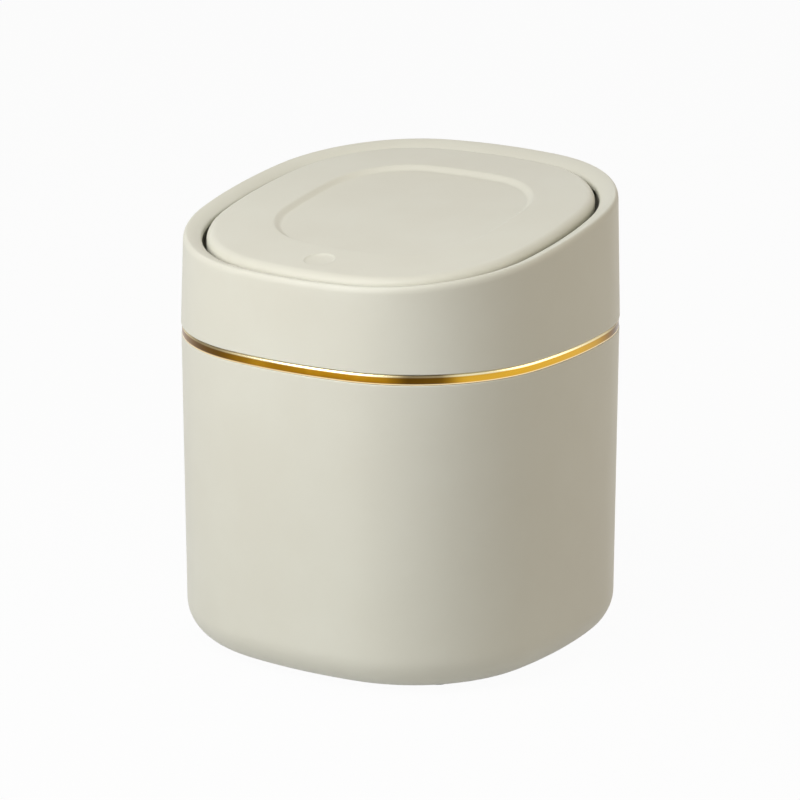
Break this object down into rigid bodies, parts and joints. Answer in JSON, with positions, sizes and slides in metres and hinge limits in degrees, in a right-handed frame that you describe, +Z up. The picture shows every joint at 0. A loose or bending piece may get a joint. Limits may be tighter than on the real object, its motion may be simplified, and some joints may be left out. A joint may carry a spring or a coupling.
{
  "type": "push top countertop bin",
  "caption": "Small square countertop waste bin with bowed sides, a trim ring and a sloping lid that pops open when pressed.",
  "frame": {"origin": "centre of the footprint, on the table the rubber feet stand on", "axes": "+Z up, front (the side with the finger dimple) towards -Y, hinge pins along X behind the middle"},
  "size_m": [0.15, 0.15, 0.1692],
  "materials": {
    "shell": "satin moulded plastic, warm off-white",
    "inner": "plain moulded plastic, slightly darker off-white",
    "gold": "bright metallised gold on plastic",
    "steel": "plain bright steel wire and screws",
    "rubber": "soft dark grey rubber",
    "acetal": "smooth white acetal"
  },
  "bodies": {
    "bucket": {"bucket": "shell", "foot_front_left": "rubber", "foot_front_right": "rubber", "foot_back_left": "rubber", "foot_back_right": "rubber"},
    "collar": {"collar": "shell", "trim_ring": "gold", "throat": "inner", "throat_screws": "steel", "stop_pads": "rubber", "latch_housing": "acetal", "latch_screws": "steel", "latch_spring": "steel", "latch_follower": "steel", "opener_left": "steel", "opener_right": "steel", "hinge_pin_left": "steel", "hinge_pin_right": "steel", "hinge_clips": "steel"},
    "lid": {"lid_top": "shell", "lid_plate": "inner", "lid_screws": "steel", "striker": "acetal", "striker_screws": "steel"},
    "plunger": {"latch_plunger": "acetal", "latch_jaws": "acetal"}
  },
  "joints": [
    {"name": "collar_lift", "type": "slide", "parent": "bucket", "child": "collar", "axis": [0, 0, 1], "range_m": [0, 0.12]},
    {"name": "lid_open", "type": "hinge", "parent": "collar", "child": "lid", "pos_m": [0, 0.022, 0.15543], "axis": [-1, 0, 0], "range_deg": [-1.5, 66], "deforming": ["opener_left", "opener_right", "latch_jaws"]},
    {"name": "latch_plunger_slide", "type": "slide", "parent": "collar", "child": "plunger", "axis": [0, -0.2008, 0.9796], "range_m": [-0.0019, 0.003], "stiffness_N_per_m": 150, "deforming": ["latch_spring", "latch_jaws"]}
  ]
}
